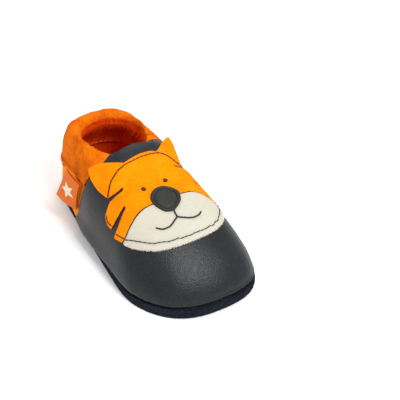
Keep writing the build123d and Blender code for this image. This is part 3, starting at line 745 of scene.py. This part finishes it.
def applique(name, outline, material, body, seams, seed, thickness=SUEDE_THICKNESS, base=GAP,
             edge=0.45, rough=0.07, spacing=0.5, lift=None, dimple=0.28):
    """A flat piece sewn on the upper: rounded cut edges, and a groove pressed in by each seam."""
    rim = even(outline, 0.35, True)
    places = surface(*rim.T)
    wobble = lumps(places, 1.1, seed) * rough + lumps(places, 4.0, seed + 1) * rough
    following = np.roll(rim, -1, 0) - np.roll(rim, 1, 0)
    across = np.stack([following[:, 1] * STRETCH[1], -following[:, 0] * STRETCH[0]], -1)
    across /= np.linalg.norm(across, axis=1, keepdims=True)
    rim = rim + across * wobble[:, None] / STRETCH
    rim3 = surface(*rim.T)
    low, high = rim.min(0), rim.max(0)
    cloud = []
    step = spacing / STRETCH[1]
    for n, t in enumerate(np.arange(low[1], high[1], step)):
        line = np.linspace(low[0], high[0], 400)
        count = max(3, int(lengths(surface(line, t))[-1] / spacing))
        shift = (0.5 if n % 2 else 0.0) * (high[0] - low[0]) / count
        row = np.linspace(low[0], high[0], count) + shift
        cloud.append(np.stack([row, np.full(count, t)], -1))
    cloud = np.vstack(cloud)
    cloud = cloud[inside(cloud, rim)]
    gap = nearest(surface(*cloud.T), rim3)
    cloud = cloud[gap > 0.5]
    rings = []
    turn = 1.0 if inside((rim + across * 0.2 / STRETCH)[:1], rim)[0] else -1.0
    for share in (0.14, 0.34):
        ring = rim + turn * across * share / STRETCH
        ring = ring[inside(ring, rim)]
        away = nearest(surface(*ring.T), rim3)
        rings.append(ring[away > share * 0.7])
    verts = np.vstack([rim] + rings + [cloud])
    flat = [Vector(p) for p in (verts * STRETCH)]
    made, _, triangles, *_ = delaunay_2d_cdt(flat, [], [list(range(len(rim)))], 1, 1e-5)
    uv = np.array([tuple(p) for p in made]) / STRETCH
    u, t = uv[:, 0], uv[:, 1]
    here = surface(u, t)
    gap = nearest(here, rim3)
    round_edge = np.sqrt(np.clip(1 - (1 - np.minimum(gap / edge, 1))**2, 0, 1))
    rise = thickness * (0.35 + 0.65 * round_edge)
    for seam in seams:
        pressed = nearest(here, surface(*seam.T))
        rise = rise - dimple * thickness * bell(pressed, 0, 0.55)
    rise = rise + lumps(here, 5.0, seed + 2) * 0.10 * np.minimum(gap / 1.0, 1)
    under = np.zeros(len(u)) + base
    if lift is not None:
        under = under + lift(here)
    top = surface(u, t, under + rise)
    bottom = surface(u, t, under)
    faces = [tuple(f) for f in triangles]
    count = len(uv)
    edges = {}
    for face in faces:
        for a, b in zip(face, face[1:] + face[:1]):
            key = (min(a, b), max(a, b))
            edges[key] = edges.get(key, []) + [(a, b)]
    walls = []
    for uses in edges.values():
        if len(uses) == 1:
            a, b = uses[0]
            walls.append((b, a, a + count, b + count))
    back = [tuple(i + count for i in reversed(face)) for face in faces]
    piece = new_mesh(name, np.vstack([top, bottom]), faces + back + walls, material, body)
    fix_normals(piece)
    return piece


def mirrored(points):
    """The same (station, height) points on the other side of the face."""
    return [(2 * FACE_MIDDLE - u, t) for u, t in reversed(points)]


def polyline(parts, samples=24):
    """A closed outline from runs of points; each run is smooth and meets the next at a corner."""
    lines = [curve(run, samples) if len(run) > 2 else np.array(run, float) for run in parts]
    joined = [line[:-1] for line in lines]
    return np.vstack(joined)


# Lines on the outer half of the face as (station, height); mirrored() turns them to the other.
EAR_JOIN = [(6.10, 0.888), (5.62, 0.866), (5.18, 0.835), (4.84, 0.785), (4.70, 0.73), (4.65, 0.632)]
UPPER_SIDE = [
    EAR_JOIN,
    [(4.65, 0.632), (5.07, 0.690), (5.72, 0.752)],                  # the first slit, to its tip
    [(5.72, 0.752), (5.84, 0.752), (5.80, 0.740)],
    [(5.80, 0.740), (5.21, 0.683), (4.80, 0.622)],                  # and back
    [(4.80, 0.622), (4.69, 0.564), (4.63, 0.49), (4.75, 0.448), (4.95, 0.444), (5.03, 0.472)],
]
LOWER_SIDE = [
    [(5.03, 0.472), (5.38, 0.570), (5.77, 0.644)],                  # the second slit
    [(5.77, 0.644), (5.89, 0.653), (5.88, 0.640)],
    [(5.88, 0.640), (5.57, 0.566), (5.18, 0.432)],
    [(5.18, 0.432), (5.15, 0.404)],
    [(5.15, 0.404), (5.60, 0.424)],                                 # the end of the lower tab
    [(5.60, 0.424), (5.76, 0.470), (5.90, 0.512), (6.09, 0.564), (6.36, 0.617), (6.66, 0.653),
     (7.07, 0.678), (7.97, 0.694)],
]
HEAD_TOP = [(6.10, 0.905), (6.56, 0.917), (7.2, 0.929), (8.0, 0.934), (8.8, 0.931), (9.4, 0.920),
            (9.70, 0.905)]
HEAD_SEAM = [(4.66, 0.640), (4.71, 0.735), (4.85, 0.787), (5.20, 0.836), (5.62, 0.867),
             (6.43, 0.897), (7.3, 0.912), (7.97, 0.915), (8.8, 0.910), (9.35, 0.902), (9.80, 0.887),
             (10.15, 0.865), (10.40, 0.830), (10.48, 0.79), (10.52, 0.75)]
MUZZLE_TOP = [(5.66, 0.424), (5.79, 0.467), (5.93, 0.510), (6.12, 0.561), (6.38, 0.613),
              (6.67, 0.649), (7.08, 0.674), (7.97, 0.690)]
MUZZLE_LOW = [(10.28, 0.424), (9.9, 0.436), (9.5, 0.450), (9.15, 0.462), (8.6, 0.468), (8.0, 0.468),
              (7.4, 0.465), (6.9, 0.455), (6.4, 0.443), (6.0, 0.432), (5.66, 0.424)]
MUZZLE_SEAM = [(5.76, 0.460), (6.07, 0.477), (6.485, 0.484), (7.1, 0.492), (7.6, 0.495),
               (8.1, 0.495), (8.61, 0.492), (9.11, 0.487), (9.6, 0.478), (10.15, 0.462)]
TAB_SEAMS = [[(4.68, 0.508), (4.77, 0.472), (4.98, 0.470)],
             [(5.25, 0.446), (5.57, 0.456), (5.72, 0.460)]]
# On the inner half the ear's seam is shorter and the first slit is nearer to the middle.
INNER_JOIN = [(9.70, 0.893), (10.0, 0.880), (10.30, 0.858), (10.50, 0.825), (10.56, 0.785),
              (10.60, 0.738)]
INNER_SIDE = [
    INNER_JOIN,
    [(10.60, 0.738), (10.22, 0.758), (9.90, 0.789)],
    [(9.90, 0.789), (9.80, 0.791), (9.83, 0.781)],
    [(9.83, 0.781), (10.20, 0.747), (10.62, 0.722)],
    [(10.62, 0.722), (10.95, 0.665), (11.17, 0.60), (11.28, 0.53), (11.25, 0.47), (11.08, 0.446),
     (10.91, 0.472)],
]


def head_outline():
    """Round the head: over the brow, down the inner side, and back up the outer one."""
    ends = [[EAR_JOIN[0], HEAD_TOP[0]], [HEAD_TOP[-1], INNER_JOIN[0]]]
    inner = INNER_SIDE + [mirrored(run)[::-1] for run in LOWER_SIDE]
    back = [run[::-1] for run in reversed(UPPER_SIDE + LOWER_SIDE)]
    return polyline([ends[0], HEAD_TOP, ends[1]] + inner + back)


def make_head():
    seam = even(curve(HEAD_SEAM, 200), 0.3, False)
    tabs = [even(curve(tab, 40), 0.3, False) for tab in TAB_SEAMS]
    piece = applique("tiger_head", head_outline(), YELLOW, SHOE, [seam] + tabs, 41)
    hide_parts("head")
    return seam


def make_muzzle():
    outline = polyline([MUZZLE_TOP + mirrored(MUZZLE_TOP)[1:], MUZZLE_LOW], 80)
    seam = even(curve(MUZZLE_SEAM, 160), 0.3, False)
    piece = applique("tiger_muzzle", outline, CREAM, SHOE, [seam], 51, edge=0.35, rough=0.06)
    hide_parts("muzzle")
    return seam, even(curve(MUZZLE_LOW, 160), 0.1, False)


NOSE_RIM = [(7.22, 0.714), (7.52, 0.742), (7.93, 0.746), (8.30, 0.727), (8.53, 0.694),
            (8.41, 0.662), (8.17, 0.640), (7.87, 0.624), (7.57, 0.630), (7.37, 0.651),
            (7.20, 0.680)]


def make_nose():
    outline = curve(NOSE_RIM, 120, closed=True)
    middle = outline.mean(0)
    seam = even(middle + (outline - middle) * 0.76, 0.3, True)
    piece = applique("tiger_nose", outline, NOSE_LEATHER, SHOE, [seam], 61, thickness=1.2,
                     base=GAP + SUEDE_THICKNESS + 0.02, edge=0.9, rough=0.05, dimple=0.4)
    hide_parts("nose")
    return seam


EAR_RIM = [
    [(4.65, 0.632), (4.42, 0.634), (4.14, 0.648), (3.75, 0.698), (3.49, 0.742)],
    [(3.49, 0.742), (3.41, 0.757), (3.46, 0.782)],
    [(3.46, 0.782), (3.71, 0.864), (4.10, 0.890), (4.66, 0.903), (5.4, 0.908), (6.10, 0.906)],
    [(6.10, 0.906), (6.10, 0.888)],
]
INNER_EAR_RIM = [
    [(10.60, 0.738), (11.10, 0.722), (11.45, 0.730), (11.80, 0.757), (12.12, 0.792),
     (12.34, 0.814)],
    [(12.34, 0.814), (12.44, 0.834), (12.33, 0.868)],
    [(12.33, 0.868), (11.95, 0.897), (11.40, 0.904), (10.6, 0.905), (9.70, 0.905)],
    [(9.70, 0.905), (9.70, 0.893)],
]


EAR_REACH = 16.0             # from an ear's seam to its tip


def make_ear(name, rim, base, node_name, height, curl, seed):
    """A free ear, sewn down along the head's seam and lifting away from the vamp towards its tip.
    """
    outline = polyline(rim + [list(base)])
    base_line = even(curve(base, 60), 0.3, False)

    def lift(here):
        gap = nearest(here, surface(*base_line.T)) / EAR_REACH
        return height * ease(gap) + curl * gap**2

    piece = applique(name, outline, YELLOW, None, [base_line], seed, lift=lift)
    middle = surface(*base_line[len(base_line) // 2])
    tip = surface(*rim[1][1])
    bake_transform(piece)
    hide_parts(node_name)


# ---- stitching ----
def band_faces(rings, sides):
    """Faces between closed rings of points that lie one behind the other."""
    faces = []
    for k in range(rings - 1):
        for n in range(sides):
            m = (n + 1) % sides
            faces.append((k * sides + n, k * sides + m, (k + 1) * sides + m, (k + 1) * sides + n))
    return faces


def tube(points, radii, sides=8):
    """Points and faces of a closed tube."""
    count = len(points)
    tangent = np.gradient(points, axis=0)
    tangent /= np.linalg.norm(tangent, axis=1, keepdims=True)
    side = np.cross(tangent, (0.3, 0.2, 1.0))
    side /= np.linalg.norm(side, axis=1, keepdims=True)
    other = np.cross(tangent, side)
    angles = 2 * math.pi * np.arange(sides)[None, :, None] / sides
    turned = side[:, None] * np.cos(angles) + other[:, None] * np.sin(angles)
    verts = list((points[:, None] + radii[:, None, None] * turned).reshape(-1, 3))
    faces = band_faces(count, sides)
    faces.append(tuple(range(sides - 1, -1, -1)))
    faces.append(tuple((count - 1) * sides + n for n in range(sides)))
    return verts, faces


def join_tubes(name, tubes, material, body):
    """One piece made of many tubes."""
    points, faces = [], []
    for verts, polygons in tubes:
        start = len(points)
        points += verts
        faces += [tuple(start + i for i in polygon) for polygon in polygons]
    return new_mesh(name, np.array(points), faces, material, body)


def sew(line, out, pitch=2.4, length=2.4, radius=0.26, arch=0.20, wander=0.06):
    """Stitches along a (station, height) line: each dips into the leather at both ends."""
    fine = even(line, 0.1, False)
    steps = lengths(surface(*fine.T))
    count = max(1, int(round(steps[-1] / pitch)))
    made = []
    for k in range(count):
        middle = (k + 0.5) * steps[-1] / count
        half = length / 2 * random.uniform(0.93, 1.05)
        marks = np.linspace(middle - half, middle + half, 9)
        u = np.interp(marks, steps, fine[:, 0])
        t = np.interp(marks, steps, fine[:, 1]) + random.uniform(-1, 1) * wander / RIB_MM
        share = np.linspace(-1, 1, 9)
        height = out + arch * (1 - share**4) - arch
        points = surface(u, t, height)
        radii = radius * np.sqrt(np.clip(1 - (np.abs(share) * 0.97)**6, 0.05, 1))
        made.append(tube(points, radii))
    return made


FACE_TOP = GAP + SUEDE_THICKNESS     # the face leather's outer side
MOUTH = [[(7.87, 0.628), (7.85, 0.610), (7.857, 0.592)],
         [(7.857, 0.592), (8.04, 0.579), (8.33, 0.563), (8.59, 0.561), (8.78, 0.567)],
         [(7.857, 0.592), (7.68, 0.579), (7.45, 0.560), (7.21, 0.555), (6.99, 0.563)]]


def make_stitching(head_seam, muzzle_seam, nose_seam):
    """The threads that hold the face pieces, and the mouth's."""
    level = FACE_TOP + 0.06
    threads = sew(head_seam, level + 0.05, radius=0.25)
    for tab in TAB_SEAMS + [mirrored(tab) for tab in TAB_SEAMS]:
        threads += sew(curve(tab, 30), level + 0.05, radius=0.25)
    piece = join_tubes("head_seam_thread", threads, BROWN_THREAD, SHOE)
    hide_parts("head_stitching")
    threads = sew(muzzle_seam, level + 0.08, radius=0.27, wander=0.16)
    piece = join_tubes("muzzle_seam_thread", threads, BROWN_THREAD, SHOE)
    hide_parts("muzzle_stitching")
    ring = np.vstack([nose_seam, nose_seam[:1]])
    threads = sew(ring, FACE_TOP + 1.0, radius=0.24)
    piece = join_tubes("nose_seam_thread", threads, DARK_THREAD, SHOE)
    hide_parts("nose_stitching")
    threads = []
    for line in MOUTH:
        threads += sew(curve(line, 60), level + 0.20, pitch=1.6, length=2.0, radius=0.44,
                       arch=0.10, wander=0.05)
    piece = join_tubes("mouth_thread", threads, DARK_THREAD, SHOE)
    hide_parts("mouth_stitching")


EYES = [(7.04, 0.755), (8.35, 0.764)]
EYE_STATIONS, EYE_HEIGHT = 0.15, 0.62 / 75      # half an eye's width and height on the upper


def make_eyes():
    """Small satin-stitched dots: a few short threads side by side."""
    threads = []
    for u, t in EYES:
        for off in np.linspace(-1, 1, 7):
            round_off = math.sqrt(max(1 - off * off * 0.85, 0.05))
            reach = EYE_STATIONS * round_off * random.uniform(0.85, 1.1)
            stations = np.linspace(u - reach, u + reach, 7)
            share = np.linspace(-1, 1, 7)
            out = FACE_TOP + 0.10 + 0.25 * (1 - share**2)
            points = surface(stations, t + off * EYE_HEIGHT, out)
            threads.append(tube(points, 0.19 * np.sqrt(np.clip(1 - (share * 0.95)**4, 0.05, 1))))
    piece = join_tubes("eye_threads", threads, EYE_THREAD, SHOE)
    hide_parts("eyes")


FIBRE = np.array([0.12, 0.12, 0.09, 0.02])   # radii along one woolly fibre


def make_fringe(low):
    """Short woolly fibres along the muzzle's cut lower edge."""
    threads = []
    for u, t in low[4:-4]:
        for _ in range(2):
            spread = random.uniform(-0.5, 0.5)
            drop = random.uniform(0.15, 0.70)
            height = random.uniform(0.25, 1.0)
            share = np.linspace(0, 1, 4)
            us = u + spread * share * 0.12
            ts = t + (0.25 - drop * share) / RIB_MM
            points = surface(us, ts, height + 0.35 * np.sin(share * 2.5) * random.uniform(-1, 1))
            threads.append(tube(points, FIBRE * random.uniform(0.8, 1.3), 3))
    # The fibres wear the brighter cream: painted light against their shade.
    piece = join_tubes("muzzle_fringe", threads, LIT_FLEECE, SHOE)


# ---- the label ----
LABEL_SEWN = [(3.10, 0.215), (3.27, 0.545)]              # the ends of its sewn edge, on the upper
LABEL_FREE = [(-34.1, 33.7, 19.5), (-29.3, 28.9, 38.6)]  # and of its free edge, in millimetres
TAPE_GAP, TAPE_THICKNESS = 0.5, 0.45
TAPE_FOLD = 0.035            # share of the tape that turns round the fold
LABEL_WIDTH, STAR_RADIUS, STAR_MIDDLE = 13.5, 5.4, (0.52, 0.5)
STAR_SIDE = 4                # points on each straight edge of the star


def label_frame(share, rise):
    """A place on the label's middle and its outward normal; share 0 is sewn, 1 is the free edge."""
    share, rise = np.broadcast_arrays(share, rise)
    stations = np.interp(rise, [0, 1], [LABEL_SEWN[0][0], LABEL_SEWN[1][0]])
    heights = np.interp(rise, [0, 1], [LABEL_SEWN[0][1], LABEL_SEWN[1][1]])
    sewn = surface(stations, heights, 0.5)
    low, high = np.array(LABEL_FREE)
    free = low + (high - low) * rise[..., None]
    out = np.cross(high - low, free - sewn)
    out = out / np.linalg.norm(out, axis=-1, keepdims=True)
    if out.reshape(-1, 3)[0][0] > 0:
        out = -out
    belly = 0.9 * np.sin(math.pi * np.clip(share, 0, 1))
    belly = belly + 0.25 * np.sin(rise * 4.0 + share * 3.0) * share
    return sewn + (free - sewn) * share[..., None] + out * belly[..., None], out


def make_label():
    """A woven tape folded in two: the fold is the free edge, both ends are in the seam."""
    path, rise = np.meshgrid(np.linspace(1, -1, 97), np.linspace(0, 1, 61), indexing="ij")
    past = np.abs(path) - TAPE_FOLD
    share = np.where(past > 0, 1 - past / (1 - TAPE_FOLD), 1.0)
    bend = np.clip(path / TAPE_FOLD, -1, 1) * math.pi / 2
    centre, out = label_frame(share, rise)
    low, high = np.array(LABEL_FREE)
    onward = np.cross(out, (high - low) / np.linalg.norm(high - low))
    if onward[48, 30] @ np.array([0, 1.0, 0]) < 0:
        onward = -onward
    radius = TAPE_GAP / 2 + TAPE_THICKNESS
    pinch = 1 + 0.5 * ease((0.25 - share) / 0.25) + 0.3 * np.sin(math.pi * share)
    front = (centre - out * (np.sin(bend) * radius * pinch)[..., None]
             + onward * (np.cos(bend) * radius)[..., None])
    piece = leather_sheet("label_tape", front, TAPE_THICKNESS, TAPE, None, rim=0.3)
    start, away = label_frame(np.array([0.0, 0.3]), np.array([0.5, 0.5]))[0]
    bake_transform(piece)
    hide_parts("label")


def make_star():
    """A plain five-pointed star woven into the label, slightly raised."""
    low, high = np.array(LABEL_FREE)
    tall = np.linalg.norm(high - low)
    angles = np.radians(36 * np.arange(10) - 54)
    radii = STAR_RADIUS * np.where(np.arange(10) % 2, 1.0, 0.45)
    star = radii[:, None] * np.stack([np.cos(angles), np.sin(angles)], -1)
    onward = np.roll(star, -1, 0) - star
    star = np.stack([star + onward * part / STAR_SIDE for part in range(STAR_SIDE)], 1)
    star = star.reshape(-1, 2)
    across, up = STAR_MIDDLE
    keys = []
    for scale, rise in ((1.0, -0.05), (1.0, 0.10), (0.92, 0.20), (0.45, 0.22)):
        keys += [(across + x * scale / LABEL_WIDTH, up + y * scale / tall, rise) for x, y in star]
    keys = np.array(keys + [(across, up, rise)])
    centre, out = label_frame(keys[:, 0], keys[:, 1])
    pinch = 1 + 0.3 * np.sin(math.pi * keys[:, 0])
    points = centre + out * ((TAPE_GAP / 2 + TAPE_THICKNESS) * pinch + keys[:, 2])[:, None]
    sides = len(star)
    faces = band_faces(4, sides)
    last = 3 * sides
    faces += [(last + k, last + (k + 1) % sides, len(keys) - 1) for k in range(sides)]
    faces.append(tuple(range(sides - 1, -1, -1)))
    piece = new_mesh("label_star_thread", points, faces, PRINT, LABEL)
    fix_normals(piece)
    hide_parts("label_star")


def dress(names, made):
    """A better material on nodes whose CAD shape is right."""
    for name in names:
        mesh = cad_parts[name].data
        mesh.materials.clear()
        mesh.materials.append(made)


# ---- the room ----
LIGHTS = [                   # place in metres, size and power
    ("key", (0.10, -0.48, 0.62), 0.26, 4.3),
    ("fill", (-0.62, 0.30, 0.60), 0.60, 1.7),
    ("back", (0.30, 0.32, 0.74), 0.60, 2.2),
]
AZIMUTH, ELEVATION, DISTANCE = math.radians(-29.5), math.radians(40.3), 0.514
TARGET = Vector((0, 0, 0.025))
LENS, SHIFT_X, SHIFT_Y = 84.96, 0.149, 0.0025


def make_room():
    """A pale floor, an even white surround and three soft lamps."""
    bpy.ops.mesh.primitive_plane_add(size=6.0, location=(0, 0, 0))
    floor = bpy.context.object
    floor.name = "floor"
    floor.data.materials.append(material("floor_white", (0.97, 0.97, 0.97), 0.8)[0])
    world = bpy.data.worlds.new("studio")
    bpy.context.scene.world = world
    world.use_nodes = True
    sky = world.node_tree.nodes["Background"]
    sky.inputs["Color"].default_value = (1, 1, 1, 1)
    sky.inputs["Strength"].default_value = 0.68
    for light in LIGHTS:
        add_light(*light)


def add_light(name, place, size, power):
    lamp = bpy.data.lights.new(name, "AREA")
    lamp.shape = "DISK"
    lamp.size = size
    lamp.energy = power
    holder = add_object(name, lamp)
    holder.location = place
    towards = Vector((0, 0, 0.02)) - Vector(place)
    holder.rotation_euler = towards.to_track_quat("-Z", "Y").to_euler()


def make_camera():
    lens = bpy.data.cameras.new("camera")
    lens.lens = LENS
    lens.sensor_width = 36.0
    lens.shift_x = SHIFT_X
    lens.shift_y = SHIFT_Y
    lens.clip_start = 0.01
    holder = add_object("camera", lens)
    level = math.cos(ELEVATION)
    back = Vector((math.sin(AZIMUTH) * level, -math.cos(AZIMUTH) * level, math.sin(ELEVATION)))
    holder.location = TARGET + back * DISTANCE
    holder.rotation_euler = (-back).to_track_quat("-Z", "Y").to_euler()
    bpy.context.scene.camera = holder
    bpy.context.scene.view_settings.view_transform = "Standard"


make_camera()
make_room()
make_outsole()
make_insole()
make_vamp()
make_hem()
make_quarter()
make_collar()
head_seam = make_head()
muzzle_seam, muzzle_low = make_muzzle()
nose_seam = make_nose()
make_ear("ear_flap_outer", EAR_RIM, EAR_JOIN, "ear_outer", 1.2, 0.3, 71)
make_ear("ear_flap_inner", INNER_EAR_RIM, INNER_JOIN, "ear_inner", 3.2, 0.8, 81)
make_stitching(head_seam, muzzle_seam, nose_seam)
make_eyes()
make_fringe(muzzle_low)
make_label()
make_star()
dress(["midsole_pad"], FOAM)
dress(["elastic_band"], ELASTIC)
dress(["outer_seam_stitching", "inner_seam_stitching", "hem_stitching", "sole_stitching"],
      GREY_THREAD)
dress(["casing_stitching"], ORANGE_THREAD)
